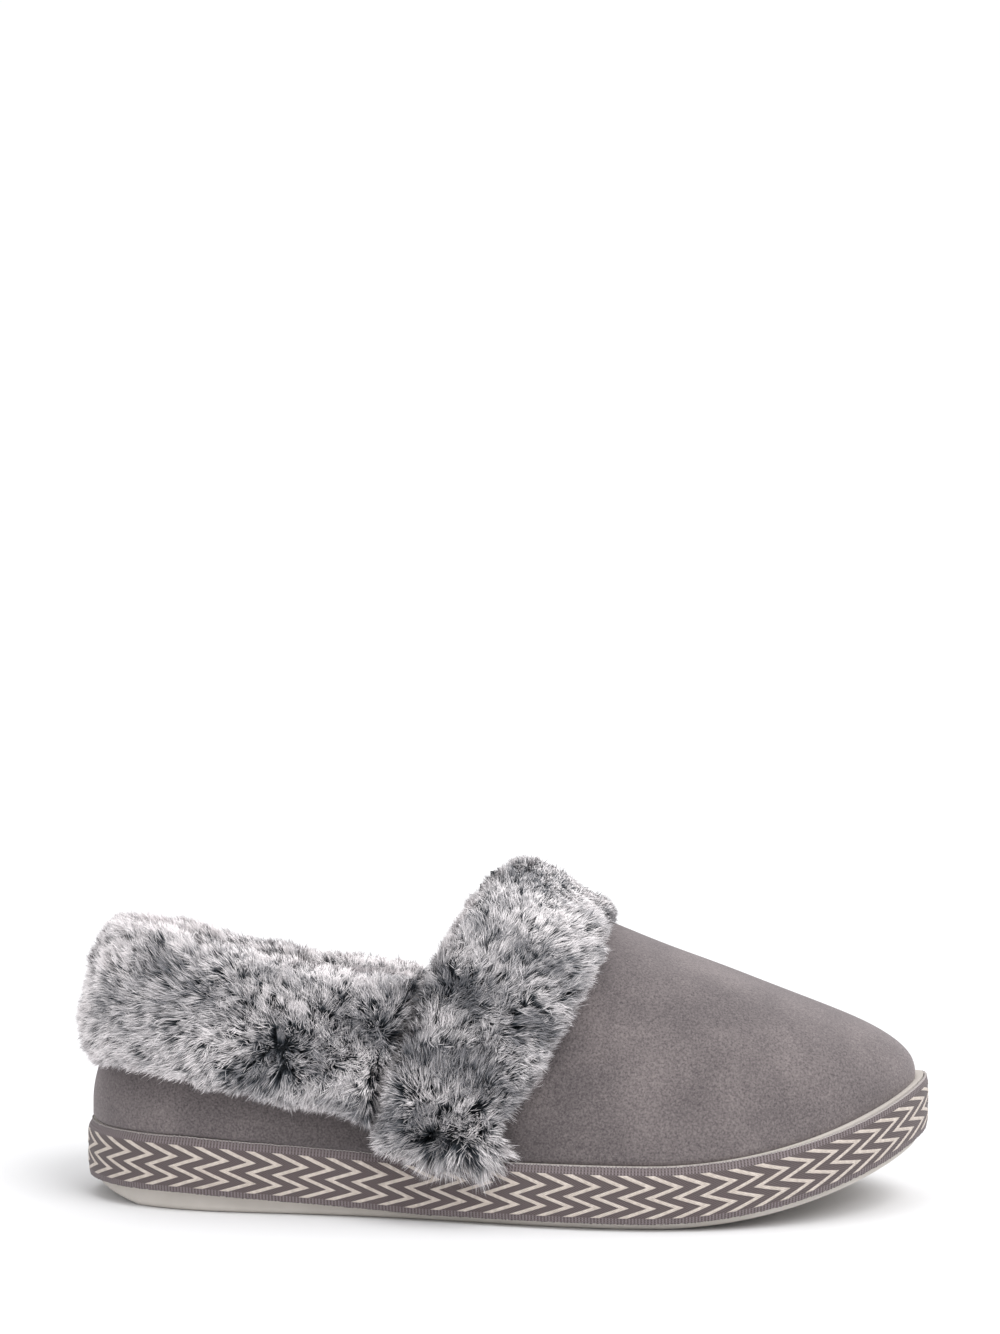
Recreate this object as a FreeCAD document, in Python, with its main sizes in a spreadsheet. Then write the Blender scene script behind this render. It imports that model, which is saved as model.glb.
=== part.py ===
"""Fluffy house slipper for the right foot, built as the shoemaker builds it.

Axes: +X points to the toe, -X to the heel, +Z up, and the outer (lateral) side of the foot faces -Y.
The origin lies on the ground under the outsole, at the middle of its length. Lengths are millimetres.

The sole pieces are PartDesign bodies: a side profile is padded across the foot and then trimmed to
the plan outline. The upper pieces are slices of one family of foot-shaped skins, each skin a constant
distance inside or outside the suede, so that neighbouring layers never meet.
"""
import FreeCAD, Part
import math
import os
import Sketcher

Vector = FreeCAD.Vector

# ---------------------------------------------------------------- driving dimensions

DIMENSIONS = [
    # plan outline of the sole, measured over the tape
    ("sole_length", 262.0, "heel tip to toe tip"),
    ("ball_width", 98.0, "widest place, across the ball of the foot"),
    # side profile of the sole
    ("blank_rear", -145.0, "rear end of every side profile"),
    ("ramp_rear", -95.0, "the heel step starts to fall here"),
    ("ramp_front", -22.0, "the heel step ends here"),
    ("spring_start", 45.0, "the toe spring starts here"),
    ("spring_radius", 190.0, "radius of the toe spring"),
    ("blank_front", 142.0, "front end of every side profile"),
    ("blank_width", 140.0, "width of every padded profile"),
    ("heel_edge", 6.2, "tape's lower edge above the ground at the heel"),
    ("fore_edge", 2.4, "tape's lower edge above the ground at the forefoot"),
    ("tape_width", 16.1, "height of the tape"),
    ("tape_thickness", 1.3, "thickness of the tape"),
    ("ledge_height", 1.0, "cup's ledge above the tape's upper edge"),
    # sole unit
    ("glue_gap", 0.1, "bond line between two sole pieces"),
    ("tread_inset", 3.2, "tread's edge inside the tape's face"),
    ("tread_edge_radius", 1.8, "rounding of the tread's lower edge"),
    ("cup_inset", 1.4, "cup's outer wall inside the tape's face"),
    ("cup_wall_inset", 4.0, "cup's inner wall inside the tape's face"),
    ("cup_floor", 2.0, "cup's floor above the tape's lower edge"),
    ("groove_width", 2.6, "tread groove"),
    ("groove_depth", 1.2, "tread groove"),
    ("groove_pitch", 8.0, "tread groove spacing"),
    ("heel_groove_length", 42.0, "tread grooves under the heel, across the foot"),
    ("fore_groove_length", 66.0, "tread grooves under the forefoot, across the foot"),
    # inside the cup, heights above the tape's lower edge
    ("foam_top", 8.4, "top of the midsole foam"),
    ("board_bottom", 9.4, "underside of the insole board"),
    ("board_top", 11.0, "top of the insole board"),
    ("footbed_top", 16.0, "top of the footbed cushion"),
    ("sock_top", 20.0, "top of the plush sock"),
    ("lining_gap", 0.2, "insole board to lining"),
    ("footbed_step", 0.7, "each footbed layer is this much smaller all round"),
    # foot form
    ("ridge_height", 98.0, "ridge line of the foot form, at the origin"),
    ("ridge_slope", 0.385, "fall of the ridge line towards the toe"),
    ("toe_round_start", 102.0, "the ridge line starts to round off to the toe"),
    ("toe_ridge_shift", 6.0, "ridge line leans to the inner side at the toe"),
    ("heel_lean", 0.22, "forward lean of the back of the heel"),
    ("heel_lean_height", 38.0, "the lean starts at this height"),
    ("section_fullness", 2.3, "superellipse exponent of the cross-sections"),
    # layers of the upper, measured inwards from the face of the suede
    ("suede_thickness", 1.4, "suede"),
    ("layer_gap", 0.1, "between two layers of the upper"),
    ("stiffener_thickness", 1.1, "toe puff and heel counter"),
    ("lining_depth", 6.4, "inner face of the pile lining"),
    ("pile_height", 10.5, "pile cuff and strap, outwards from the suede"),
    # top line
    ("roll_height", 8.0, "the cuff rolls over this much above the quarters"),
    ("inner_drop", 6.5, "the inner top line lies this much below the outer one"),
    ("inner_line_lean", 3.0, "the inner top line's front end leans forward by this much"),
    # stitches
    ("thread_diameter", 0.7, "sewing thread"),
    ("strobel_pitch", 8.0, "spacing of the strobel stitches"),
    ("strobel_length", 8.4, "length of one strobel stitch"),
]

doc = FreeCAD.newDocument("house_slipper")
sheet = doc.addObject("Spreadsheet::Sheet", "Dims")
for row, (alias, value, note) in enumerate(DIMENSIONS, start=1):
    sheet.set(f"A{row}", alias)
    sheet.set(f"B{row}", str(value))
    sheet.setAlias(f"B{row}", alias)
    sheet.set(f"C{row}", note)
doc.recompute()


def size(name):
    """Value of one cell of the sheet, in millimetres."""
    return float(getattr(sheet, name))


# ---------------------------------------------------------------- plan outline

# Stations of the outline as fractions of the sole's length from the heel tip, and of the ball's width
# from the centre line: heel tip, outer side to the toe tip, then back along the inner side.
OUTLINE = [
    (0.000, 0.000),
    (0.036, -0.220),
    (0.120, -0.338),
    (0.255, -0.375),
    (0.405, -0.415),
    (0.580, -0.490),
    (0.730, -0.488),
    (0.865, -0.375),
    (0.957, -0.190),
    (1.000, 0.065),
    (0.970, 0.270),
    (0.880, 0.430),
    (0.745, 0.500),
    (0.610, 0.478),
    (0.440, 0.385),
    (0.270, 0.338),
    (0.115, 0.322),
    (0.034, 0.210),
]
OUTLINE_SAMPLES = 480
PLAN_POINTS = 44


def outline_curve():
    """Closed spline through the stations, on the plane z = 0, as the tape's outer face."""
    length = size("sole_length")
    width = size("ball_width")
    points = [Vector((along - 0.5) * length, across * width, 0) for along, across in OUTLINE]
    curve = Part.BSplineCurve()
    curve.interpolate(Points=points, PeriodicFlag=True)
    return curve


def outline_points(inset, count):
    """Points of the outline moved inwards along its normal, from the heel tip round the outer side."""
    curve = outline_curve()
    first, last = curve.FirstParameter, curve.LastParameter
    points = []
    for index in range(count):
        parameter = first + (last - first) * index / count
        tangent = curve.tangent(parameter)[0]
        inwards = Vector(-tangent.y, tangent.x, 0)
        points.append(curve.value(parameter) + inwards * inset)
    return points


def spline_through(points):
    """Closed spline through the points."""
    curve = Part.BSplineCurve()
    curve.interpolate(Points=points, PeriodicFlag=True)
    return curve


# ---------------------------------------------------------------- side profile of the sole


def spring_rise(along):
    """Rise of the toe spring at this place along the foot."""
    run = max(0.0, along - size("spring_start"))
    radius = size("spring_radius")
    return radius - math.sqrt(radius**2 - run**2)


def edge_height(along):
    """Height of the tape's lower edge above the ground."""
    rear, front = size("ramp_rear"), size("ramp_front")
    share = min(1.0, max(0.0, (along - rear) / (front - rear)))
    step = size("heel_edge") * (1 - share) + size("fore_edge") * share
    return step + spring_rise(along)


def plane_of(body, role):
    """One of the body's own origin planes."""
    return next(item for item in body.Origin.OriginFeatures if item.Role == role)


def new_sketch(body, name, role):
    """Empty sketch on one of the body's origin planes."""
    sketch = body.newObject("Sketcher::SketchObject", name)
    sketch.AttachmentSupport = [(plane_of(body, role), "")]
    sketch.MapMode = "FlatFace"
    return sketch


def place_point(sketch, geometry, end, names):
    """Fix one end of a line or arc at sums of sheet cells: names is (x cells, z cells)."""
    for kind, cells in zip(("DistanceX", "DistanceY"), names):
        if not cells:
            continue
        value = sum(size(cell) for cell in cells)
        number = sketch.addConstraint(Sketcher.Constraint(kind, -1, 1, geometry, end, value))
        sketch.setExpression(f"Constraints[{number}]", " + ".join(f"Dims.{cell}" for cell in cells))


def sole_chain(heel, fore):
    """Corners of a line that follows the sole, from the heel to the start of the toe spring.

    heel and fore list the cells whose sum is the line's height at the heel and at the forefoot.
    """
    corners = [(["blank_rear"], heel)]
    if heel != fore:
        corners.append((["ramp_rear"], heel))
        corners.append((["ramp_front"], fore))
    corners.append((["spring_start"], fore))
    return corners


def draw_chain(sketch, heel, fore):
    """Draw a sole line and its toe spring; return its two ends."""
    corners = sole_chain(heel, fore)
    places = [Vector(sum(map(size, xs)), sum(map(size, zs)), 0) for xs, zs in corners]
    for number, (start, end) in enumerate(zip(places, places[1:])):
        line = sketch.addGeometry(Part.LineSegment(start, end))
        place_point(sketch, line, 1, corners[number])
        place_point(sketch, line, 2, corners[number + 1])
    radius = size("spring_radius")
    centre = places[-1] + Vector(0, radius, 0)
    swing = math.asin((size("blank_front") - centre.x) / radius)
    circle = Part.Circle(centre, Vector(0, 0, 1), radius)
    bottom = -math.pi / 2
    arc = sketch.addGeometry(Part.ArcOfCircle(circle, bottom, bottom + swing))
    place_point(sketch, arc, 3, (["spring_start"], fore + ["spring_radius"]))
    number = sketch.addConstraint(Sketcher.Constraint("Radius", arc, radius))
    sketch.setExpression(f"Constraints[{number}]", "Dims.spring_radius")
    tip = centre + Vector(radius * math.sin(swing), -radius * math.cos(swing), 0)
    return places[0], tip


def sole_profile(body, name, bottom, top):
    """Sketch of the region between two sole lines, in side view."""
    sketch = new_sketch(body, name, "XZ_Plane")
    low_rear, low_tip = draw_chain(sketch, *bottom)
    high_rear, high_tip = draw_chain(sketch, *top)
    sketch.addGeometry(Part.LineSegment(low_rear, high_rear))
    sketch.addGeometry(Part.LineSegment(low_tip, high_tip))
    return sketch


def pad_across(body, name, sketch, width_cell):
    """Pad a side view sketch to both sides of the centre plane."""
    pad = body.newObject("PartDesign::Pad", name)
    pad.Profile = sketch
    pad.SideType = "Symmetric"
    pad.setExpression("Length", f"Dims.{width_cell}")
    return pad


def cut_plan(body, name, inset, keep_inside):
    """Trim the body to the outline at this inset, or cut the outline's inside away."""
    sketch = new_sketch(body, f"{name}_sketch", "XY_Plane")
    sketch.addGeometry(spline_through(outline_points(inset, PLAN_POINTS)))
    if keep_inside:
        half_length = size("sole_length")
        half_width = size("ball_width")
        corners = [
            Vector(-half_length, -half_width, 0),
            Vector(half_length, -half_width, 0),
            Vector(half_length, half_width, 0),
            Vector(-half_length, half_width, 0),
        ]
        for start, end in zip(corners, corners[1:] + corners[:1]):
            sketch.addGeometry(Part.LineSegment(start, end))
    pocket = body.newObject("PartDesign::Pocket", name)
    pocket.Profile = sketch
    pocket.SideType = "Symmetric"
    pocket.Type = "ThroughAll"
    return pocket



def sole_layer(label, bottom, top, outer_inset, inner_inset=None):
    """One layer of the sole: between two sole lines and inside one outline (outside another)."""
    body = doc.addObject("PartDesign::Body", label)
    profile = sole_profile(body, f"{label}_profile", bottom, top)
    pad = pad_across(body, f"{label}_pad", profile, "blank_width")
    doc.recompute()
    whole = pad.Shape.Volume
    trim = cut_plan(body, f"{label}_outline", outer_inset, True)
    doc.recompute()
    assert trim.Shape.Volume < 0.9 * whole, f"{label}: the outline cut nothing"
    if inner_inset is not None:
        hollow = cut_plan(body, f"{label}_inside", inner_inset, False)
        doc.recompute()
        assert hollow.Shape.Volume < 0.5 * trim.Shape.Volume, f"{label}: the inside cut nothing"
    return body


# ---------------------------------------------------------------- foot-shaped skins

# Heights of the rows of control points of every skin: wide steps up the straight walls, close steps
# where the toe rounds over.
SKIN_HEIGHTS = [0, 14, 26, 34, 38, 41, 44.5, 48, 51.5, 55, 59, 65, 73, 82, 92, 103, 116]
SKIN_POINTS = 42
SKIN_START = 7
SKIN_DEGREE = 3
TOE_ROUNDNESS = 3.4
LEAN_SOFTNESS = 8.0
LEAN_REACH = 40.0


def smooth_step(share):
    """0 to 1 with flat ends."""
    share = min(1.0, max(0.0, share))
    return share * share * (3 - 2 * share)


def rim_height(along):
    """Height of the cup's ledge, where the upper comes out of the sole."""
    return edge_height(along) + size("tape_width") + size("ledge_height")


def look_up(table, along):
    """Read a sorted (x, y) table between its points."""
    if along <= table[0][0]:
        return table[0][1]
    for (x0, y0), (x1, y1) in zip(table, table[1:]):
        if along <= x1:
            return y0 + (y1 - y0) * (along - x0) / max(x1 - x0, 1e-9)
    return table[-1][1]


class Skin:
    """One foot-shaped surface, a constant distance inside (or outside) the face of the suede."""

    def __init__(self, inset):
        self.inset = inset
        points = outline_points(size("cup_wall_inset") + size("glue_gap") + inset, OUTLINE_SAMPLES)
        self.rear = min(point.x for point in points)
        self.front = max(point.x for point in points)
        tip = next(index for index, point in enumerate(points) if point.x == self.front)
        self.outer = sorted((point.x, point.y) for point in points[:tip + 1])
        self.inner = sorted((point.x, point.y) for point in points[tip:] + points[:1])

    def ridge(self, along):
        """Height of the skin's ridge line."""
        slope = size("ridge_slope")
        line = size("ridge_height") - slope * along - self.inset * math.hypot(1, slope)
        start = size("toe_round_start") - slope * self.inset
        if along <= start:
            return line
        share = min(1.0, (along - start) / (self.front - start))
        rim = rim_height(along)
        return rim + (line - rim) * (1 - share**TOE_ROUNDNESS) ** (1 / TOE_ROUNDNESS)

    def nose(self, height):
        """Front end of the skin at this height."""
        if self.ridge(self.front) >= height:
            return self.front
        low, high = 3 * self.rear, self.front
        for _ in range(60):
            middle = (low + high) / 2
            if self.ridge(middle) >= height:
                low = middle
            else:
                high = middle
        return low

    def across(self, along, height, table):
        """Sideways place of the skin on one side of the foot."""
        rim, ridge = rim_height(along), self.ridge(along)
        share = min(1.0, max(0.0, (height - rim) / max(ridge - rim, 1e-6)))
        power = size("section_fullness")
        width = (1 - share**power) ** (1 / power)
        centre = size("toe_ridge_shift") * smooth_step((along + LEAN_REACH) / (self.front + LEAN_REACH))
        return centre + (look_up(table, along) - centre) * width

    def control_row(self, height):
        """Points round the skin at this height, from a place on the outer side of the heel."""
        front = self.nose(height)
        above = height - size("heel_lean_height")
        lean = size("heel_lean") * (above + math.hypot(above, LEAN_SOFTNESS)) / 2
        points = []
        for index in range(SKIN_POINTS):
            angle = 2 * math.pi * ((index + SKIN_START) % SKIN_POINTS) / SKIN_POINTS
            along = self.rear + (front - self.rear) * (1 - math.cos(angle)) / 2
            table = self.outer if angle < math.pi else self.inner
            fade = max(0.0, (LEAN_REACH - along) / (LEAN_REACH - self.rear)) ** 2
            points.append(Vector(along + lean * fade, self.across(along, height, table), height))
        return points

    def solid(self):
        """Solid inside the skin: one smooth surface, closed by a flat face below and one above."""
        rows = [self.control_row(height) for height in SKIN_HEIGHTS]
        poles = [[row[index] for row in rows] for index in range(SKIN_POINTS)]
        round_knots = list(range(SKIN_POINTS + 1))
        up_knots = list(range(len(rows) - SKIN_DEGREE + 1))
        round_mults = [1] * len(round_knots)
        up_mults = [SKIN_DEGREE + 1] + [1] * (len(up_knots) - 2) + [SKIN_DEGREE + 1]
        surface = Part.BSplineSurface()
        surface.buildFromPolesMultsKnots(poles, round_mults, up_mults, round_knots, up_knots,
                                         True, False, SKIN_DEGREE, SKIN_DEGREE)
        side = surface.toShape()
        rings = [edge for edge in side.Edges if edge.BoundBox.ZLength < 0.001]
        caps = [Part.Face(Part.Wire([ring])) for ring in rings]
        shell = Part.Shell([side] + caps)
        shell.sewShape()
        return Part.Solid(shell)


def skin_feature(name, inset):
    """Document object that holds one skin's solid."""
    feature = doc.addObject("Part::Feature", name)
    feature.Shape = Skin(inset).solid()
    return feature


# ---------------------------------------------------------------- side view zones of the upper

TOP_LINE = [(-152, 59), (-136, 72.5), (-122, 82), (-107, 85.5), (-85, 81.5), (-62, 77), (-40, 74), (-22, 73.5)]
CUFF_LOWER = [(-152, 54), (-136, 47), (-116, 42.5), (-94, 40.5), (-70, 36.5), (-46, 32), (-20, 31)]
THROAT = [(-22.0, 65.5), (16.0, 122.0)]
STRAP_REAR = [(-36, 20.6), (-35.5, 32), (-31, 48), (-24, 66), (-14.5, 86), (-1, 103), (14, 122)]
STRAP_FRONT = [(2, 20.6), (4.5, 33), (13, 45), (20, 58), (27, 70), (31.5, 85), (35, 122)]
SEAM = [(-18.0, -5.0), (16.0, 125.0)]
ZONE_TOP = 122.0
PUFF_EDGE = [(84.0, 0.0), (98.0, ZONE_TOP)]
COUNTER_EDGE = [(-72.0, 0.0), (-92.0, 56.0)]


def add_path(sketch, points):
    """Line between two points, or a spline through more."""
    places = [Vector(x, z, 0) for x, z in points]
    if len(places) == 2:
        sketch.addGeometry(Part.LineSegment(places[0], places[1]))
        return
    curve = Part.BSplineCurve()
    curve.interpolate(Points=places)
    sketch.addGeometry(curve)


def shifted(points, dx, dz):
    """The same points moved along and up."""
    return [(x + dx, z + dz) for x, z in points]


def zone(name, paths, bottom=None):
    """Body of a side view region, padded across the foot. bottom names a sole line that closes it."""
    body = doc.addObject("PartDesign::Body", name)
    sketch = new_sketch(body, f"{name}_sketch", "XZ_Plane")
    if bottom:
        rear, tip = draw_chain(sketch, *bottom)
        paths = [[(rear.x, rear.y), paths[0][0]]] + paths + [[paths[-1][-1], (tip.x, tip.y)]]
    for path in paths:
        add_path(sketch, path)
    pad_across(body, f"{name}_pad", sketch, "blank_width")
    return body


def box_side(name, low, high):
    """Box that holds everything between two sideways limits."""
    box = doc.addObject("Part::Box", name)
    reach = size("sole_length")
    box.Length = 2 * reach
    box.Width = high - low
    box.Height = 2 * reach
    box.Placement.Base = Vector(-reach, low, -reach)
    return box


def cut(name, base, tool):
    """base without tool."""
    feature = doc.addObject("Part::Cut", name)
    feature.Base = base
    feature.Tool = tool
    return feature


def common(name, first, second):
    """What two objects share."""
    feature = doc.addObject("Part::Common", name)
    feature.Base = first
    feature.Tool = second
    return feature


PARTS = []


def piece(label, feature):
    """Register a finished sub-part under its label."""
    feature.Label = label
    PARTS.append(feature)
    return feature


# ---------------------------------------------------------------- sole unit


def above_edge(*cells):
    """Sole line this far above the tape's lower edge: cells for the heel and for the forefoot."""
    return ["heel_edge", *cells], ["fore_edge", *cells]


GROUND = ([], [])
HEEL_BEVEL = [(-111.0, 0.0), (-145.0, 8.5), (-145.0, -4.0), (-111.0, -4.0)]


def closed_polygon(sketch, corners):
    """Closed run of straight edges."""
    for start, end in zip(corners, corners[1:] + corners[:1]):
        add_path(sketch, [start, end])


def tread_block():
    """Lower part of the moulded sole: bevelled heel, rounded edge and grooved tread."""
    body = sole_layer("tread_block", GROUND, above_edge("cup_floor"), size("tread_inset"))
    sketch = new_sketch(body, "heel_bevel_sketch", "XZ_Plane")
    closed_polygon(sketch, HEEL_BEVEL)
    bevel = body.newObject("PartDesign::Pocket", "heel_bevel")
    bevel.Profile = sketch
    bevel.SideType = "Symmetric"
    bevel.Type = "ThroughAll"
    doc.recompute()
    edges = [f"Edge{i}" for i, edge in enumerate(bevel.Shape.Edges, 1) if on_tread_rim(edge)]
    fillet = body.newObject("PartDesign::Fillet", "tread_rounding")
    fillet.Base = (bevel, edges)
    fillet.setExpression("Radius", "Dims.tread_edge_radius")
    doc.recompute()
    rows = (
        ("heel", -106.0, 7, "heel_groove_length"),
        ("fore", -21.3, 9, "fore_groove_length"),
    )
    for name, start, count, length_cell in rows:
        tread_grooves(body, name, start, count, length_cell)
    return body


def on_tread_rim(edge):
    """True for the edges round the underside of the sole, false for the lines that cross it."""
    middle = edge.valueAt((edge.FirstParameter + edge.LastParameter) / 2)
    underside = spring_rise(middle.x) + max(0.0, (HEEL_BEVEL[0][0] - middle.x) / 4)
    crosses = edge.BoundBox.XLength < 0.01
    return abs(middle.z - underside) < size("fore_edge") / 4 and not crosses


def tread_grooves(body, name, start, count, length_cell):
    """Row of grooves across the underside."""
    width, depth, pitch = size("groove_width"), size("groove_depth"), size("groove_pitch")
    sketch = new_sketch(body, f"{name}_groove_sketch", "XZ_Plane")
    closed_polygon(sketch, [(start, -1), (start + width, -1), (start + width, depth), (start, depth)])
    groove = body.newObject("PartDesign::Pocket", f"{name}_groove")
    groove.Profile = sketch
    groove.SideType = "Symmetric"
    groove.setExpression("Length", f"Dims.{length_cell}")
    doc.recompute()
    row = body.newObject("PartDesign::LinearPattern", f"{name}_grooves")
    row.Originals = [groove]
    row.Direction = (plane_of(body, "X_Axis"), [""])
    row.Length = pitch * (count - 1)
    row.Occurrences = count
    body.Tip = row
    doc.recompute()


def cup_outsole():
    """Moulded rubber cup: tread below, side wall behind the tape, ledge on top."""
    wall = sole_layer("cup_wall", above_edge(), above_edge("tape_width", "ledge_height"),
                      size("cup_inset"))
    blank = doc.addObject("Part::Fuse", "cup_blank")
    blank.Base = tread_block()
    blank.Tool = wall
    cavity = sole_layer("cup_cavity", above_edge("cup_floor"), above_edge("cup_floor", "blank_width"),
                        size("cup_wall_inset"))
    return cut("cup", blank, cavity)


def strobel_stitches():
    """Short thread bars that tie the upper's lower edge to the insole board."""
    pitch, length = size("strobel_pitch"), size("strobel_length")
    start_inset = size("cup_wall_inset") + size("suede_thickness") / 2
    outer = outline_points(start_inset, OUTLINE_SAMPLES)
    inner = outline_points(start_inset + length, OUTLINE_SAMPLES)
    count = int(spline_through(outline_points(start_inset, PLAN_POINTS)).length() / pitch)
    rise = (size("foam_top") + size("board_bottom")) / 2
    bars = []
    for number in range(count):
        index = number * OUTLINE_SAMPLES // count
        first, last = outer[index], inner[index]
        first = Vector(first.x, first.y, edge_height(first.x) + rise)
        last = Vector(last.x, last.y, edge_height(last.x) + rise)
        run = last - first
        bars.append(Part.makeCylinder(size("thread_diameter") / 2, run.Length, first, run))
    feature = doc.addObject("Part::Feature", "strobel")
    feature.Shape = Part.makeCompound(bars)
    return feature


piece("cup_outsole", cup_outsole())
piece("herringbone_tape", sole_layer("tape", above_edge(), above_edge("tape_width"), 0.0,
                                     size("tape_thickness")))
cup_inside = size("cup_wall_inset") + size("glue_gap")
upper_inside = cup_inside + size("lining_depth") + size("lining_gap")
piece("midsole_foam", sole_layer("foam", above_edge("cup_floor", "glue_gap"), above_edge("foam_top"),
                                 cup_inside))
piece("strobel_stitches", strobel_stitches())
piece("insole_board", sole_layer("board", above_edge("board_bottom"), above_edge("board_top"),
                                 upper_inside))
piece("footbed_foam", sole_layer("footbed", above_edge("board_top", "glue_gap"),
                                 above_edge("footbed_top"), upper_inside + size("footbed_step")))
piece("footbed_sock", sole_layer("sock", above_edge("footbed_top", "glue_gap"),
                                 above_edge("sock_top"), upper_inside + 2 * size("footbed_step")))

# ---------------------------------------------------------------- zones in side view

GAP = size("layer_gap")
roll = size("roll_height")
upper_bottom = above_edge("board_bottom")
front = size("blank_front")
outer_half = box_side("outer_half", -size("blank_width"), -GAP / 2)
inner_half = box_side("inner_half", GAP / 2, size("blank_width"))


def upper_region(name, gap):
    """Region of the closed upper, below the quarters' top edge and in front of the throat."""
    top = shifted(TOP_LINE, 0, gap - roll)
    throat = [top[-1], (THROAT[1][0] - gap, ZONE_TOP)]
    return zone(name, [top, throat, [throat[-1], (front, ZONE_TOP)]], upper_bottom)


def strap_region(name, gap):
    """Region of the strap, from the ledge up over the instep."""
    rear = shifted(STRAP_REAR, -gap, 0)
    return zone(name, [rear, [rear[-1], STRAP_FRONT[-1]], STRAP_FRONT[::-1], [STRAP_FRONT[0], rear[0]]])


def polygon_region(name, corners):
    """Region inside a polygon."""
    return zone(name, [[start, end] for start, end in zip(corners, corners[1:] + corners[:1])])


upper_zone = upper_region("upper_zone", 0.0)
core_zone = upper_region("core_zone", GAP)
strap_zone = strap_region("strap_zone", 0.0)
strap_room = strap_region("strap_room", 3 * GAP)
cuff_zone = zone("cuff_zone", [
    [CUFF_LOWER[0], TOP_LINE[0]],
    TOP_LINE,
    [TOP_LINE[-1], CUFF_LOWER[-1]],
    CUFF_LOWER[::-1],
])
(seam_low, floor), (seam_high, ceiling) = SEAM
vamp_half = polygon_region("vamp_half", [(seam_low, floor), (front, floor), (front, ceiling),
                                         (seam_high, ceiling)])
quarter_half = polygon_region("quarter_half", [(seam_low - GAP, floor), (seam_high - GAP, ceiling),
                                               (-front - roll, ceiling), (-front - roll, floor)])


def above_inner_line(name, gap):
    """Region above the inner side's top line, which is the outer one let down and moved by gap."""
    line = shifted(TOP_LINE, 0, gap - size("inner_drop"))
    end = (line[-1][0] + size("inner_line_lean"), ZONE_TOP)
    start = (line[0][0], ZONE_TOP)
    return zone(name, [line, [line[-1], end], [end, start], [start, line[0]]])


def stiffener_regions(gap):
    """Regions of the toe puff and of the heel counter, widened by gap."""
    toe_low, toe_high = PUFF_EDGE
    heel_low, heel_high = COUNTER_EDGE
    puff = [(toe_low[0] - gap, toe_low[1]), (front, toe_low[1]), (front, toe_high[1]),
            (toe_high[0] - gap, toe_high[1])]
    counter = [(heel_low[0] + gap, heel_low[1]), (heel_high[0] + gap, heel_high[1] + gap),
               (-front - roll, heel_high[1] + gap), (-front - roll, heel_low[1])]
    return puff, counter


# ---------------------------------------------------------------- upper

stiffener_face = size("suede_thickness") + GAP
stiffener_back = stiffener_face + size("stiffener_thickness")
pile_skin = skin_feature("pile_skin", -size("pile_height"))
backing_skin = skin_feature("backing_skin", -GAP)
suede_skin = skin_feature("suede_skin", 0.0)
suede_back = skin_feature("suede_back", size("suede_thickness"))
stiff_skin = skin_feature("stiff_skin", stiffener_face)
stiff_back = skin_feature("stiff_back", stiffener_back)
room_skin = skin_feature("room_skin", stiffener_back + GAP)
foot_skin = skin_feature("foot_skin", size("lining_depth"))

suede = common("suede", cut("suede_shell", suede_skin, suede_back), upper_zone)
piece("vamp", common("vamp_suede", suede, vamp_half))
quarters = common("quarters", suede, quarter_half)
piece("lateral_quarter", common("outer_quarter", quarters, outer_half))
inner_quarter_trim = above_inner_line("inner_quarter_trim", -roll)
piece("medial_quarter", cut("inner_quarter", common("inner_quarter_blank", quarters, inner_half),
                            inner_quarter_trim))

stiff = common("stiff", cut("stiff_shell", stiff_skin, stiff_back), upper_zone)
puff_corners, counter_corners = stiffener_regions(0.0)
piece("toe_puff", common("puff", stiff, polygon_region("puff_zone", puff_corners)))
piece("heel_counter", common("counter", stiff, polygon_region("counter_zone", counter_corners)))

lining = common("lining", cut("lining_shell", stiff_skin, foot_skin), upper_zone)
room = cut("room_shell", suede_skin, room_skin)
puff_corners, counter_corners = stiffener_regions(GAP)
puff_room = common("puff_room", room, polygon_region("puff_room_zone", puff_corners))
counter_room = common("counter_room", room, polygon_region("counter_room_zone", counter_corners))
vamp_lining = common("vamp_lining_blank", lining, vamp_half)
piece("vamp_lining", cut("vamp_pile", vamp_lining, puff_room))
quarter_lining = cut("quarter_lining", common("quarter_lining_blank", lining, quarter_half), counter_room)
piece("lateral_quarter_lining", common("outer_lining", quarter_lining, outer_half))
piece("medial_quarter_lining", cut("inner_lining", common("inner_lining_blank", quarter_lining, inner_half),
                                   inner_quarter_trim))

core = common("core", backing_skin, core_zone)
low_core = cut("low_core", core, above_inner_line("core_trim", GAP - roll))
cuff_blank = cut("cuff_outside", common("cuff_blank", pile_skin, cuff_zone), strap_room)
low_cuff_blank = cut("low_cuff_blank", cuff_blank, above_inner_line("cuff_trim", 0.0))
for label, blank, inside, half in (("lateral_cuff", cuff_blank, core, outer_half),
                                   ("medial_cuff", low_cuff_blank, low_core, inner_half)):
    over_core = cut(f"{label}_over_core", common(f"{label}_half", blank, half), inside)
    piece(label, cut(f"{label}_shell", over_core, foot_skin))
strap_blank = common("strap_blank", pile_skin, strap_zone)
piece("instep_strap", cut("strap", cut("strap_over_core", strap_blank, core), foot_skin))

# ---------------------------------------------------------------- check and write

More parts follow.
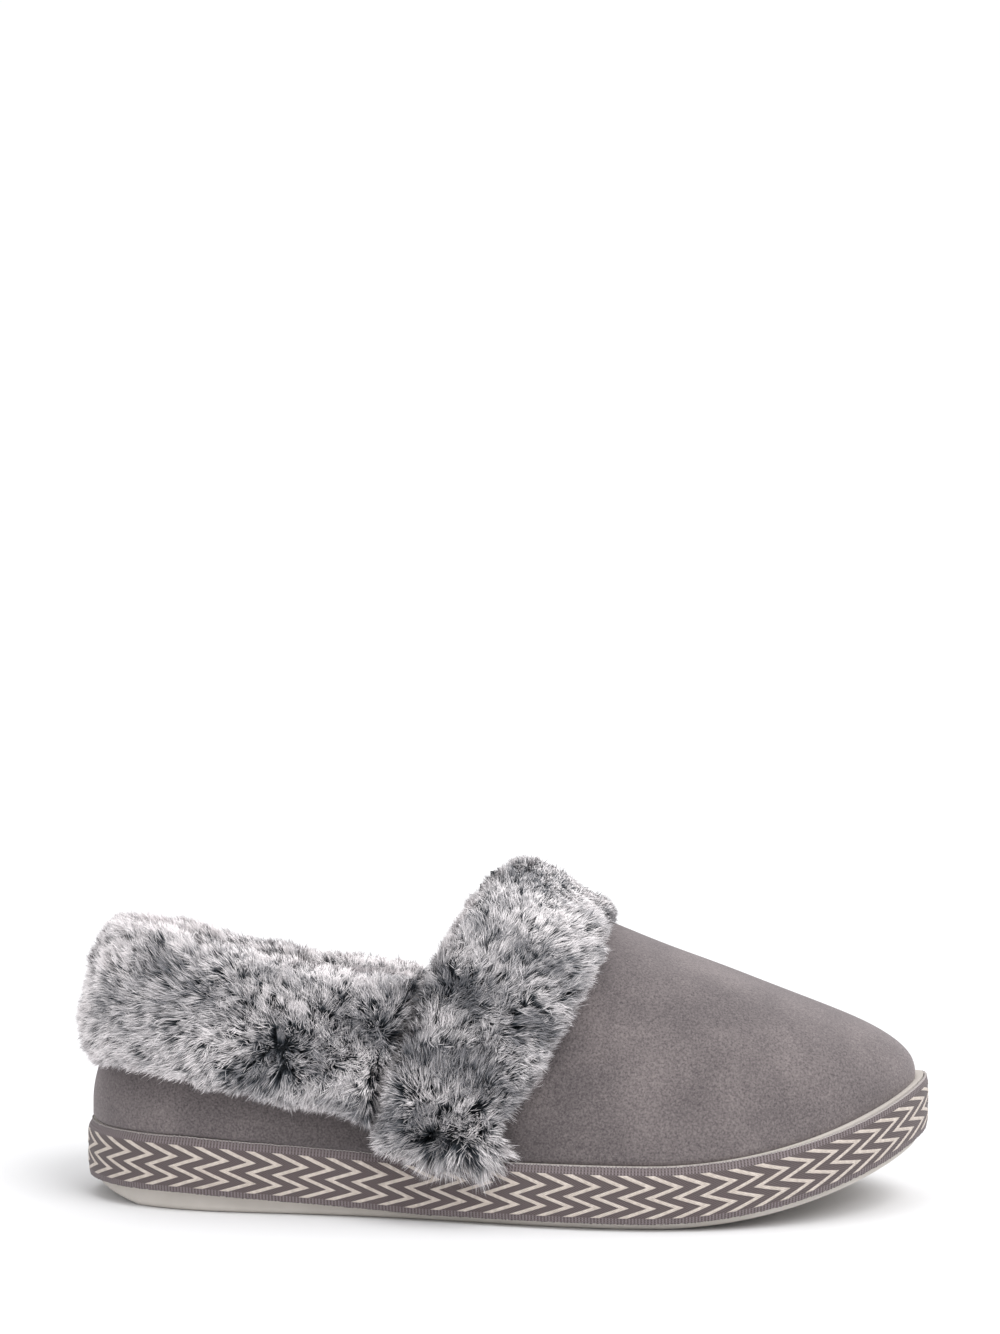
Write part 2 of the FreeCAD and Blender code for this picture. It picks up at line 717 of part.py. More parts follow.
doc.recompute()
failed = [item.Label for item in doc.Objects if {"Invalid", "Error"} & set(item.State)]
assert not failed, f"failed objects: {failed}"
for part in PARTS:
    assert not part.Shape.isNull() and part.Shape.isValid(), f"{part.Label} has a bad shape"
    assert part.Shape.Solids, f"{part.Label} holds no solid"
os.makedirs("parts", exist_ok=True)
for part in PARTS:
    part.Shape.exportStep(os.path.join("parts", f"{part.Label}.step"))
    box = part.Shape.BoundBox
    print(f"{part.Label:24} solids {len(part.Shape.Solids):3} volume {part.Shape.Volume / 1000:8.2f} cm3 "
          f"x {box.XMin:7.1f} {box.XMax:7.1f} y {box.YMin:6.1f} {box.YMax:6.1f} z {box.ZMin:6.1f} {box.ZMax:6.1f}")
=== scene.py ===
"""Looks of the fluffy house slipper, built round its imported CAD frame. All lengths are metres."""

import math

import bpy
import numpy as np
from mathutils import Matrix, Vector
from mathutils.bvhtree import BVHTree
from mathutils.kdtree import KDTree


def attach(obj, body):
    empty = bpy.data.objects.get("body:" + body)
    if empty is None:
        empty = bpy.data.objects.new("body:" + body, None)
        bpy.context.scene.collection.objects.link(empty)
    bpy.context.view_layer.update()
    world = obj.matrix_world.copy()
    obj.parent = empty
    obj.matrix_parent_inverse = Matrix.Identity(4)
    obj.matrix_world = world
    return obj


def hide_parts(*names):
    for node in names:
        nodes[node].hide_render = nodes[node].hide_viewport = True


MM = 0.001
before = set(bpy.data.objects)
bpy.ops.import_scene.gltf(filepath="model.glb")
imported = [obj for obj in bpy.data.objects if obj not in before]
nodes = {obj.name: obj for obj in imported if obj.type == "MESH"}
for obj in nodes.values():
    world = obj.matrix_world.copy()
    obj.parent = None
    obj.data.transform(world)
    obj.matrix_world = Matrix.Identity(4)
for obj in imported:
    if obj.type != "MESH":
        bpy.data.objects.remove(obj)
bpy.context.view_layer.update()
rng = np.random.default_rng(38)


# ---------------------------------------------------------------- node materials


class Shader:
    """A Principled material and short calls that add nodes to it."""

    def __init__(self, name, **sockets):
        self.material = bpy.data.materials.new(name)
        self.material.use_nodes = True
        self.tree = self.material.node_tree
        self.principled = self.tree.nodes["Principled BSDF"]
        for socket, value in sockets.items():
            self.principled.inputs[socket.replace("_", " ")].default_value = value

    def add(self, kind, inputs=None, **settings):
        """New node: settings are its properties, inputs its sockets as values or as links."""
        node = self.tree.nodes.new(kind)
        for key, value in settings.items():
            setattr(node, key, value)
        for key, value in (inputs or {}).items():
            if isinstance(value, bpy.types.NodeSocket):
                self.tree.links.new(value, node.inputs[key])
            else:
                node.inputs[key].default_value = value
        return node

    def math(self, operation, first, second=0.0, third=0.0):
        """Result of one Math node."""
        inputs = {0: first, 1: second, 2: third}
        return self.add("ShaderNodeMath", inputs, operation=operation).outputs[0]

    def smoothstep(self, value, start, end):
        """0 at start, 1 at end, smooth between."""
        inputs = {"Value": value, "From Min": start, "From Max": end}
        return self.add("ShaderNodeMapRange", inputs, interpolation_type="SMOOTHSTEP").outputs["Result"]

    def noise(self, scale, detail=4.0, roughness=0.6):
        """Noise over the object's own coordinates, scale in features to a metre."""
        where = self.add("ShaderNodeTexCoord").outputs["Object"]
        inputs = {"Vector": where, "Scale": scale, "Detail": detail, "Roughness": roughness}
        return self.add("ShaderNodeTexNoise", inputs).outputs["Fac"]

    def ramp(self, factor, stops):
        """Colour ramp with stops of (place, colour)."""
        node = self.add("ShaderNodeValToRGB", {"Fac": factor})
        elements = node.color_ramp.elements
        while len(elements) < len(stops):
            elements.new(0.5)
        for element, (place, colour) in zip(elements, stops):
            element.position = place
            element.color = (*colour, 1.0)
        return node.outputs["Color"]

    def mix(self, factor, first, second, blend="MIX"):
        """Mix of two colours."""
        node = self.add("ShaderNodeMix", data_type="RGBA", blend_type=blend)
        for socket, value in ((0, factor), (6, first), (7, second)):
            if isinstance(value, bpy.types.NodeSocket):
                self.tree.links.new(value, node.inputs[socket])
            elif socket == 0:
                node.inputs[socket].default_value = value
            else:
                node.inputs[socket].default_value = (*value, 1.0)
        return node.outputs[2]

    def colour(self, socket):
        """Use this output as the base colour."""
        self.tree.links.new(socket, self.principled.inputs["Base Color"])

    def bump(self, height, distance, strength=1.0):
        """Bump of this height over the surface, on top of any bump that is there."""
        inputs = {"Height": height, "Distance": distance, "Strength": strength}
        old = self.principled.inputs["Normal"].links
        if old:
            inputs["Normal"] = old[0].from_socket
        normal = self.add("ShaderNodeBump", inputs).outputs["Normal"]
        self.tree.links.new(normal, self.principled.inputs["Normal"])


def srgb(red, green, blue):
    """Linear colour of an 8-bit display colour."""
    def linear(value):
        value /= 255
        return value / 12.92 if value <= 0.04045 else ((value + 0.055) / 1.055) ** 2.4
    return linear(red), linear(green), linear(blue)


def suede():
    """Grey suede: fine speckled nap, soft patches, painted shade low down near the strap's foot and a
    faint sheen.
    """
    shader = Shader("grey_suede", Roughness=0.95, Sheen_Weight=0.35, Sheen_Roughness=0.6,
                    Specular_IOR_Level=0.15)
    shader.principled.inputs["Sheen Tint"].default_value = (*srgb(235, 228, 230), 1.0)
    patches = shader.noise(38.0, 3.0)
    base = shader.ramp(patches, [(0.35, srgb(118, 112, 113)), (0.65, srgb(139, 132, 132))])
    # Painted shade: the suede darkens towards srgb(92, 87, 88) low down around x = -24 mm, where the
    # pile and strap cast their shadow.
    place = shader.add("ShaderNodeTexCoord").outputs["Object"]
    split = shader.add("ShaderNodeSeparateXYZ", {"Vector": place}).outputs
    beside = shader.math("ABSOLUTE", shader.math("ADD", split["X"], 0.024))
    beside = shader.smoothstep(beside, 0.074, 0.015)
    strap_shade = shader.math("MULTIPLY", beside, shader.smoothstep(split["Z"], 0.055, 0.02))
    strap_shade = shader.math("MULTIPLY", strap_shade, 0.95)
    base = shader.mix(strap_shade, base, srgb(92, 87, 88))
    speckle = shader.noise(1500.0, 5.0, 0.75)
    fleck = shader.ramp(speckle, [(0.34, srgb(150, 146, 150)), (0.66, srgb(255, 252, 250))])
    shader.colour(shader.mix(1.0, base, fleck, "MULTIPLY"))
    shader.bump(speckle, 0.15 * MM)
    shader.bump(shader.noise(260.0, 3.0), 0.25 * MM, 0.5)
    return shader.material


def rubber():
    """Light grey moulded rubber with a fine eggshell texture."""
    shader = Shader("sole_rubber", Roughness=0.62, Specular_IOR_Level=0.35)
    tone = shader.noise(60.0, 3.0)
    shader.colour(shader.ramp(tone, [(0.3, srgb(196, 190, 183)), (0.7, srgb(208, 202, 196))]))
    shader.bump(shader.noise(2600.0, 2.0), 0.05 * MM)
    return shader.material


def foam(name, low, high):
    """Closed-cell foam."""
    shader = Shader(name, Roughness=0.9)
    cells = shader.noise(1400.0, 2.0)
    shader.colour(shader.ramp(cells, [(0.35, low), (0.65, high)]))
    shader.bump(cells, 0.1 * MM)
    return shader.material


def fibre_board():
    """Pressed fibre board."""
    shader = Shader("fibre_board", Roughness=0.85)
    fibres = shader.noise(420.0, 6.0, 0.8)
    shader.colour(shader.ramp(fibres, [(0.3, srgb(178, 160, 130)), (0.7, srgb(212, 197, 170))]))
    shader.bump(fibres, 0.08 * MM)
    return shader.material


def thread():
    """Twisted sewing thread."""
    shader = Shader("sewing_thread", Roughness=0.7)
    twist = shader.noise(1900.0, 1.0)
    shader.colour(shader.ramp(twist, [(0.3, srgb(186, 182, 176)), (0.7, srgb(226, 222, 214))]))
    return shader.material


def plush(name, low, high, scale=900.0):
    """Short curly pile seen as a surface."""
    shader = Shader(name, Roughness=0.95, Sheen_Weight=0.4, Sheen_Roughness=0.5)
    curls = shader.noise(scale, 5.0, 0.7)
    shader.colour(shader.ramp(curls, [(0.3, low), (0.7, high)]))
    shader.bump(curls, 0.8 * MM)
    return shader.material


BAKE_LAYER = "OFBake"


def pile(name, root, middle, dark_tip, light_tip, start=0.40, end=0.86):
    """Pile strands: the layer's v runs from root to tip and its u is the strand's own shade."""
    shader = Shader(name, Roughness=0.6, Specular_IOR_Level=0.25)
    place = shader.add("ShaderNodeUVMap", uv_map=BAKE_LAYER).outputs["UV"]
    split = shader.add("ShaderNodeSeparateXYZ", {"Vector": place}).outputs
    dark = shader.ramp(split["Y"], [(start, root), (0.64, middle), (end, dark_tip)])
    light = shader.ramp(split["Y"], [(start - 0.1, root), (0.56, middle), (end - 0.1, light_tip)])
    shader.colour(shader.mix(split["X"], dark, light))
    return shader.material


# The weave of the tape in millimetres: rows of slanting bolts between two dotted borders. A bolt moves
# along by the reach while it crosses one row, and takes the duty on both sides of the middle of a pitch.
TAPE_LAYER = "tape_place"
TAPE_HEIGHT = 16.1
TAPE_BORDER = 1.85
TAPE_ROW = 3.1
TAPE_BOLT_ROWS = 4
TAPE_PITCH = 8.15
TAPE_REACH = 8.7
TAPE_DUTY = 0.182
TAPE_YARN = 1.0
TAPE_WEFT = 0.62
TAPE_FRAY = 0.2


def tape_cloth():
    """Woven tape: cream herringbone bolts on a grey-mauve ground, with dotted borders."""
    shader = Shader("herringbone_cloth", Roughness=0.85, Sheen_Weight=0.15)
    place = shader.add("ShaderNodeUVMap", uv_map=TAPE_LAYER).outputs["UV"]
    split = shader.add("ShaderNodeSeparateXYZ", {"Vector": place}).outputs
    along, up = split["X"], split["Y"]
    rows = shader.math("DIVIDE", shader.math("SUBTRACT", up, TAPE_BORDER), TAPE_ROW)
    swing = shader.math("MULTIPLY", shader.math("PINGPONG", rows, 1.0), TAPE_REACH)
    repeat = shader.math("DIVIDE", shader.math("SUBTRACT", along, swing), TAPE_PITCH)
    off_middle = shader.math("ABSOLUTE", shader.math("SUBTRACT", shader.math("FRACT", repeat), 0.5))
    bolt = shader.math("LESS_THAN", off_middle, TAPE_DUTY)
    above = shader.math("GREATER_THAN", rows, 0.0)
    below = shader.math("LESS_THAN", rows, float(TAPE_BOLT_ROWS))
    inside = shader.math("MULTIPLY", above, below)
    figure = shader.math("MULTIPLY", bolt, inside)
    warp = shader.math("SINE", shader.math("MULTIPLY", along, 2 * math.pi / TAPE_YARN))
    weft = shader.math("SINE", shader.math("MULTIPLY", up, 2 * math.pi / (TAPE_WEFT * TAPE_YARN)))
    lift = shader.math("MULTIPLY_ADD", shader.math("MULTIPLY", warp, weft), 0.5, 0.5)
    ground = shader.ramp(lift, [(0.1, srgb(72, 63, 64)), (0.9, srgb(108, 97, 97))])
    wear = shader.noise(800.0, 4.0)
    cream = shader.ramp(wear, [(0.3, srgb(186, 174, 165)), (0.7, srgb(216, 205, 196))])
    border = shader.math("SUBTRACT", 1.0, inside)
    dots = shader.math("MULTIPLY", border, shader.math("GREATER_THAN", warp, 0.1))
    ground = shader.mix(shader.math("MULTIPLY", dots, 0.8), ground, srgb(132, 122, 125))
    cloth = shader.mix(figure, ground, cream)
    edge = shader.math("GREATER_THAN", up, TAPE_HEIGHT - TAPE_FRAY)
    shader.colour(shader.mix(shader.math("MULTIPLY", edge, lift), cloth, srgb(196, 190, 186)))
    shader.bump(lift, 0.12 * MM)
    shader.bump(figure, 0.22 * MM)
    return shader.material


# ---------------------------------------------------------------- mesh helpers


def new_piece(name, points, faces, material):
    """A named object from arrays of points and of faces with three or four corners each."""
    points = np.asarray(points, dtype=np.float32)
    faces = np.asarray(faces, dtype=np.int32)
    mesh = bpy.data.meshes.new(name)
    mesh.vertices.add(len(points))
    mesh.vertices.foreach_set("co", points.ravel())
    mesh.loops.add(faces.size)
    mesh.loops.foreach_set("vertex_index", faces.ravel())
    mesh.polygons.add(len(faces))
    mesh.polygons.foreach_set("loop_start", np.arange(0, faces.size, faces.shape[1], dtype=np.int32))
    mesh.update(calc_edges=True)
    mesh.shade_smooth()
    mesh.materials.append(material)
    piece = bpy.data.objects.new(name, mesh)
    bpy.context.collection.objects.link(piece)
    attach(piece, "root")
    return piece


def set_layer(piece, layer, places):
    """UV layer with one place per vertex."""
    mesh = piece.data
    corner = np.empty(len(mesh.loops), dtype=np.int32)
    mesh.loops.foreach_get("vertex_index", corner)
    mesh.uv_layers.new(name=layer).data.foreach_set("uv", places[corner].astype(np.float32).ravel())


def copied(names):
    """Points and triangles of several CAD nodes together."""
    points = []
    triangles = []
    count = 0
    for name in names:
        mesh = nodes[name].data
        mesh.calc_loop_triangles()
        some = np.empty(len(mesh.vertices) * 3, dtype=np.float32)
        mesh.vertices.foreach_get("co", some)
        corners = np.empty(len(mesh.loop_triangles) * 3, dtype=np.int32)
        mesh.loop_triangles.foreach_get("vertices", corners)
        points.append(some.reshape(-1, 3))
        triangles.append(corners.reshape(-1, 3) + count)
        count += len(mesh.vertices)
    return np.concatenate(points), np.concatenate(triangles)


def mesh_of(points, triangles):
    """A bare mesh."""
    mesh = bpy.data.meshes.new("work")
    mesh.from_pydata(points.tolist(), [], triangles.tolist())
    return mesh


def applied(mesh, modifier, **settings):
    """The mesh after one modifier."""
    work = bpy.data.objects.new("work", mesh)
    bpy.context.collection.objects.link(work)
    entry = work.modifiers.new("step", modifier)
    for key, value in settings.items():
        setattr(entry, key, value)
    graph = bpy.context.evaluated_depsgraph_get()
    done = bpy.data.meshes.new_from_object(work.evaluated_get(graph))
    bpy.data.objects.remove(work)
    return done


def arrays(mesh):
    """Points, vertex normals and faces (all of one size) of a mesh."""
    count = len(mesh.vertices)
    points = np.empty(count * 3, dtype=np.float32)
    mesh.vertices.foreach_get("co", points)
    normals = np.empty(count * 3, dtype=np.float32)
    mesh.vertex_normals.foreach_get("vector", normals)
    corners = np.empty(len(mesh.loops), dtype=np.int32)
    mesh.loops.foreach_get("vertex_index", corners)
    faces = corners.reshape(len(mesh.polygons), -1)
    return points.reshape(-1, 3).astype(float), normals.reshape(-1, 3).astype(float), faces


def remeshed(names, voxel):
    """One closed, even quad mesh of several CAD nodes."""
    return applied(mesh_of(*copied(names)), "REMESH", mode="VOXEL", voxel_size=voxel)


def relaxed(mesh, steps):
    """The mesh with its edges and ripples rounded off; it keeps its size, step by step out and in."""
    points, _, _ = arrays(mesh)
    edges = np.empty(len(mesh.edges) * 2, dtype=np.int32)
    mesh.edges.foreach_get("vertices", edges)
    first, second = edges.reshape(-1, 2).T
    links = np.bincount(edges, minlength=len(points))[:, None]
    for step in range(2 * steps):
        total = np.empty_like(points)
        for axis in range(3):
            total[:, axis] = (np.bincount(first, points[second, axis], len(points))
                              + np.bincount(second, points[first, axis], len(points)))
        points += (0.6, -0.42)[step % 2] * (total / links - points)
    mesh.vertices.foreach_set("co", points.astype(np.float32).ravel())
    mesh.update()
    return mesh


# Cloth settings of a padded piece: air pressure inside it, stretch and bending stiffness, frames run.
PRESSURE = 4.0
STRETCH_STIFFNESS = 25.0
BENDING_STIFFNESS = 1.5
LAST_FRAME = 20


def puffed(mesh, pinned, cap):
    """The mesh swollen as cloth by air inside it; pinned vertices stay, and none moves past cap."""
    before, _, _ = arrays(mesh)
    work = bpy.data.objects.new("work", mesh)
    bpy.context.collection.objects.link(work)
    held = work.vertex_groups.new(name="held")
    held.add([int(number) for number in np.flatnonzero(pinned)], 1.0, "REPLACE")
    cloth = work.modifiers.new("cloth", "CLOTH").settings
    cloth.quality = 5
    cloth.use_pressure = True
    cloth.uniform_pressure_force = PRESSURE
    cloth.tension_stiffness = STRETCH_STIFFNESS
    cloth.compression_stiffness = STRETCH_STIFFNESS
    cloth.bending_stiffness = BENDING_STIFFNESS
    cloth.vertex_group_mass = "held"
    cloth.effector_weights.gravity = 0.0
    scene = bpy.context.scene
    for number in range(1, LAST_FRAME + 1):
        scene.frame_set(number)
    graph = bpy.context.evaluated_depsgraph_get()
    after, _, _ = arrays(bpy.data.meshes.new_from_object(work.evaluated_get(graph)))
    scene.frame_set(1)
    bpy.data.objects.remove(work)
    move = after - before
    far = np.linalg.norm(move, axis=1, keepdims=True)
    after = before + move * np.minimum(1, cap / np.maximum(far, 1e-9))
    mesh.vertices.foreach_set("co", after.astype(np.float32).ravel())
    mesh.update()
    return applied(mesh, "SUBSURF", levels=1)


def swollen(mesh, points, pinned, cap):
    mesh.vertices.foreach_set("co", points.astype(np.float32).ravel())
    return puffed(mesh, pinned, cap)


def unit(vectors):
    """Vectors of length one."""
    return vectors / np.maximum(np.linalg.norm(vectors, axis=-1, keepdims=True), 1e-9)


def waves(points, scale, seed):
    """Smooth random value from about -1 to 1 at each point; scale is the size of its lumps in metres."""
    own = np.random.default_rng(seed)
    total = np.zeros(len(points))
    for _ in range(9):
        direction = unit(own.normal(size=3)) * own.uniform(0.6, 1.5) * 2 * math.pi / scale
        total += np.sin(points @ direction + own.uniform(0, 2 * math.pi))
    return total / 3.2


def smooth(value, low, high):
    """0 at low, 1 at high and a smooth step between."""
    part = np.clip((value - low) / (high - low), 0, 1)
    return part * part * (3 - 2 * part)


# The tape's lower edge: height at the heel, drop of the step in front of it from its start over its run,
# then the toe spring, an arc from its start on.
EDGE_AT_HEEL = 6.2 * MM
STEP_DROP = 3.8 * MM
STEP_START = -95 * MM
STEP_RUN = 73 * MM
SPRING_START = 45 * MM
SPRING_RADIUS = 190 * MM


def edge_rise(along):
    """Height of the tape's lower edge: it steps down in front of the heel and springs up at the toe."""
    ramp = np.clip((along - STEP_START) / STEP_RUN, 0, 1)
    spring = np.maximum(along - SPRING_START, 0)
    lift = SPRING_RADIUS - np.sqrt(SPRING_RADIUS ** 2 - spring ** 2)
    return EDGE_AT_HEEL - STEP_DROP * ramp + lift


# ---------------------------------------------------------------- sole and tape


ROUTE_RAYS = 1440
ROUTE_HEIGHTS = 12
OUTSIDE = 250 * MM


def tape_route(samples):
    """The tape's outer face followed round the sole: plan points, outward normals and the way along."""
    points, triangles = copied(["herringbone_tape"])
    tree = BVHTree.FromPolygons(points.tolist(), triangles.tolist())
    heights = np.linspace(points[:, 2].min() + MM, points[:, 2].max() - MM, ROUTE_HEIGHTS)
    plan = []
    for angle in np.linspace(0, 2 * math.pi, ROUTE_RAYS, endpoint=False):
        outward = Vector((math.cos(angle), math.sin(angle), 0))
        starts = [outward * OUTSIDE + Vector((0, 0, height)) for height in heights]
        hits = [tree.ray_cast(start, -outward)[0] for start in starts]
        plan.append(max((hit.xy for hit in hits if hit), key=lambda spot: spot @ outward.xy))
    plan = np.array(plan)
    for _ in range(12):
        plan = 0.5 * plan + 0.25 * (np.roll(plan, 1, axis=0) + np.roll(plan, -1, axis=0))
    closed = np.vstack([plan, plan[:1]])
    run = np.concatenate([[0], np.cumsum(np.linalg.norm(np.diff(closed, axis=0), axis=1))])
    places = np.linspace(0, run[-1], samples, endpoint=False)
    plan = np.column_stack([np.interp(places, run, closed[:, axis]) for axis in (0, 1)])
    tangent = unit(np.roll(plan, -1, axis=0) - np.roll(plan, 1, axis=0))
    outward = np.column_stack([tangent[:, 1], -tangent[:, 0]])
    return plan, outward, places


# The band in millimetres: its thickness, then its crown, how far bolts and border yarns stand out, the
# fray of its edges, and how the upper edge behind the toe laps over the ledge and tucks in to the suede.
TAPE_THICKNESS = 1.3
TAPE_CROWN = 0.45
TAPE_SINK = 0.35
BOLT_RELIEF = 0.18
YARN_RELIEF = 0.07
EDGE_FRAY = 0.10
TAPE_LAP = 1.1
TAPE_TUCK = 1.5
# The band's mesh: columns round the sole, rows up, and the rows of strips in its bake layout.
TAPE_COLUMNS = 2352
TAPE_ROWS = 44
TAPE_STRIPS = 8


def tape_figure(along, up):
    """1 on a bolt of the herringbone and 0 on the ground, for millimetres along and up the tape."""
    rows = (up - TAPE_BORDER) / TAPE_ROW
    swing = TAPE_REACH * (1 - np.abs(rows % 2 - 1))
    phase = ((along - swing) / TAPE_PITCH) % 1
    inside = (rows > 0) & (rows < TAPE_BOLT_ROWS)
    return np.clip((TAPE_DUTY - np.abs(phase - 0.5)) / 0.05 + 0.5, 0, 1) * inside


def tape_skin():
    """The band's points, column by column, and the length of one column in millimetres of weave."""
    plan, outward, places = tape_route(TAPE_COLUMNS)
    whole = places[1] * TAPE_COLUMNS / MM
    along = places / MM * round(whole / TAPE_PITCH) * TAPE_PITCH / whole
    across, around = np.meshgrid(np.linspace(0, TAPE_HEIGHT, TAPE_ROWS), along)
    border = (across < TAPE_BORDER) | (across > TAPE_BORDER + TAPE_BOLT_ROWS * TAPE_ROW)
    yarns = np.sin(around * 2 * math.pi / TAPE_YARN) * border
    crown = TAPE_CROWN * (1 - (2 * across / TAPE_HEIGHT - 1) ** 4)
    behind_toe = (1 - smooth(plan[:, 0], 60 * MM, 118 * MM))[:, None]
    tuck = TAPE_TUCK * smooth(across, 13.8, TAPE_HEIGHT + 1.0) * behind_toe
    relief = BOLT_RELIEF * tape_figure(around, across) + YARN_RELIEF * yarns
    proud = (crown - TAPE_SINK + relief - tuck) * MM
    fray = rng.normal(0, EDGE_FRAY, (TAPE_COLUMNS, 2)) * MM
    height = edge_rise(plan[:, 0])[:, None] + across * MM
    height += TAPE_LAP * MM * behind_toe * (across / TAPE_HEIGHT) ** 6
    height[:, 0] += fray[:, 0]
    height[:, -1] += fray[:, 1]
    outer = np.empty((TAPE_COLUMNS, TAPE_ROWS, 3))
    outer[..., :2] = plan[:, None, :] + outward[:, None, :] * proud[..., None]
    outer[..., 2] = height
    inner = outer[:, [-1, 0]].copy()
    inner[..., :2] = (plan - outward * (TAPE_THICKNESS - 0.25) * MM)[:, None, :]
    return np.concatenate([outer, inner], axis=1), along[1]


def tape_layers(mesh, faces, column_length):
    """The band's weave layer in millimetres along and up, and its bake layer of stacked strips."""
    wide = TAPE_ROWS + 2
    column = np.repeat(np.arange(TAPE_COLUMNS), wide)
    row = np.tile(np.arange(wide), TAPE_COLUMNS)
    last = (faces[:, 1:3] < wide).all(axis=1) & (faces[:, 0] >= wide)
    corner_column = column[faces].astype(float)
    corner_column[last, 1:3] = TAPE_COLUMNS
    corner_row = row[faces].astype(float)
    corner_row[corner_row == TAPE_ROWS] = TAPE_ROWS - 0.5
    corner_row[corner_row > TAPE_ROWS] = 0.5
    up = np.clip(corner_row / (TAPE_ROWS - 1), 0, 1)
    real = np.stack([corner_column * column_length, up * TAPE_HEIGHT], axis=-1)
    mesh.uv_layers.new(name=TAPE_LAYER).data.foreach_set("uv", real.astype(np.float32).ravel())
    per_strip = TAPE_COLUMNS // TAPE_STRIPS
    strip = np.minimum(corner_column.min(axis=1) // per_strip, TAPE_STRIPS - 1)[:, None]
    packed = np.stack([
        0.01 + 0.98 * (corner_column - strip * per_strip) / per_strip,
        (strip + 0.08 + 0.84 * up) / TAPE_STRIPS,
    ], axis=-1)
    mesh.uv_layers.new(name=BAKE_LAYER).data.foreach_set("uv", packed.astype(np.float32).ravel())


def tape():
    """The woven tape: a closed band whose bolts and dotted borders stand out of its ground."""
    ring, column_length = tape_skin()
    index = np.arange(ring.shape[0] * ring.shape[1]).reshape(ring.shape[:2])
    after = np.roll(index, -1, axis=0)
    above = np.roll(index, -1, axis=1)
    both = np.roll(after, -1, axis=1)
    faces = np.stack([index, after, both, above], axis=-1).reshape(-1, 4)
    piece = new_piece("herringbone_band", ring.reshape(-1, 3), faces, tape_cloth())
    tape_layers(piece.data, faces, column_length)
    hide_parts("herringbone_tape")


# ---------------------------------------------------------------- suede


SWELL_AT_HEEL = 3.6


def settled(points, normals):
    """The upper's wall swells out over the sole's ledge, most at the heel."""
    along = points[:, 0]
    swell = SWELL_AT_HEEL - 1.4 * smooth(along, -40 * MM, 50 * MM)
    swell -= 1.3 * smooth(along, 70 * MM, 115 * MM)
    rise = points[:, 2] - edge_rise(along) - (TAPE_HEIGHT + 1) * MM
    profile = smooth(rise, -2.5 * MM, 1.5 * MM) * (1 - smooth(rise, 6 * MM, 34 * MM))
    plan = normals * (1, 1, 0)
    centre_line = np.column_stack([np.clip(along, -90 * MM, 70 * MM), 0 * along, 0 * along])
    outward = unit((points - centre_line) * (1, 1, 0))
    facing = smooth((unit(plan) * outward).sum(axis=1), -0.2, 0.3)
    return points + outward * (swell * MM * profile * (0.6 + 0.4 * facing))[:, None]


def suede_panels():
    """Vamp and quarters with soft turned edges and the slight lumps of a stuffed upper."""
    cloth = suede()
    for node in ("vamp", "lateral_quarter", "medial_quarter"):
        mesh = relaxed(remeshed([node], 0.9 * MM), 4)
        points, normals, faces = arrays(mesh)
        points += normals * (0.22 * MM * waves(points, 34 * MM, 5))[:, None]
        points = settled(points, normals)
        piece = new_piece(node + "_suede", points, faces, cloth)
        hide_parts(node)


# ---------------------------------------------------------------- pile


# Where the pile has been stroked: place on the side (x, z) in mm, direction (x, z), lean in degrees.
STROKES = [
    (-130, 62, -1.0, -0.10, 52), (-122, 80, -0.6, 0.80, 55), (-122, 48, -0.7, -0.70, 50),
    (-100, 76, -0.5, 0.85, 48), (-102, 60, -1.0, -0.10, 45), (-86, 46, -0.5, -0.85, 50),
    (-78, 50, -1.0, 0.10, 38), (-68, 60, -0.1, 1.00, 38), (-58, 50, 0.9, 0.10, 30),
    (-68, 40, -0.2, -1.00, 48), (-45, 74, 0.1, 1.00, 48), (-30, 71, 0.2, 1.00, 45),
    (-50, 57, 0.1, 0.30, 14), (-35, 55, 0.2, -0.20, 12), (-32, 62, 0.2, 0.60, 16),
    (-52, 40, -0.3, -1.00, 46), (-35, 37, -0.4, -0.90, 46), (-24, 72, -0.6, 0.50, 45),
    (-12, 94, -0.9, 0.20, 48), (-8, 66, 0.9, 0.10, 40), (-6, 80, 0.3, 1.00, 35),
    (4, 96, 0.0, 1.00, 35), (0, 74, 0.2, 0.60, 30), (16, 92, 0.8, 0.60, 45),
    (26, 84, 1.0, 0.10, 48), (20, 66, 1.0, -0.10, 48), (8, 58, 0.8, -0.20, 45),
    (-20, 52, 0.1, 0.90, 50), (-8, 49, 0.4, 0.80, 50), (-30, 41, -0.8, 0.40, 42),
    (8, 42, 0.9, 0.10, 46), (-31, 29, -0.9, -0.20, 46), (-18, 42, 0.2, 0.90, 42),
    (-8, 38, 0.4, 0.80, 38), (-20, 31, 0.0, 0.60, 22), (-5, 30, 0.5, 0.30, 24),
    (4, 29, 0.9, -0.40, 46), (-24, 18, -0.4, -1.00, 52), (-6, 18, 0.2, -1.00, 52),
]

# Furrows where the pile parts, with shorter strands and painted shade: points (x, z) in mm along the
# furrow and its half width.
FURROWS = [
    ([(-25, 47), (-14, 52), (-3, 51)], 3.0),
    ([(-13, 73), (-9, 60), (-4, 52)], 3.2),
    ([(-23, 66), (-25, 56), (-27, 44)], 2.6),
    ([(-75, 47), (-68, 49), (-66, 55)], 4.0),
    ([(-4, 99), (3, 101), (8, 100)], 3.0),
]


def stroked(places, side_normals):
    """Direction and lean of the pile at places on the surface."""
    strokes = np.array(STROKES, dtype=float)
    gap = np.linalg.norm(places[:, None, [0, 2]] / MM - strokes[None, :, :2], axis=2)
    weight = 1 / (gap + 2.5) ** 3.2
    weight /= weight.sum(axis=1, keepdims=True)
    flat = weight @ (unit(strokes[:, 2:4]) * np.sin(np.radians(strokes[:, 4:5])))
    lean = np.column_stack([flat[:, 0], np.zeros(len(flat)), flat[:, 1]])
    return lean - side_normals * (lean * side_normals).sum(axis=1, keepdims=True)


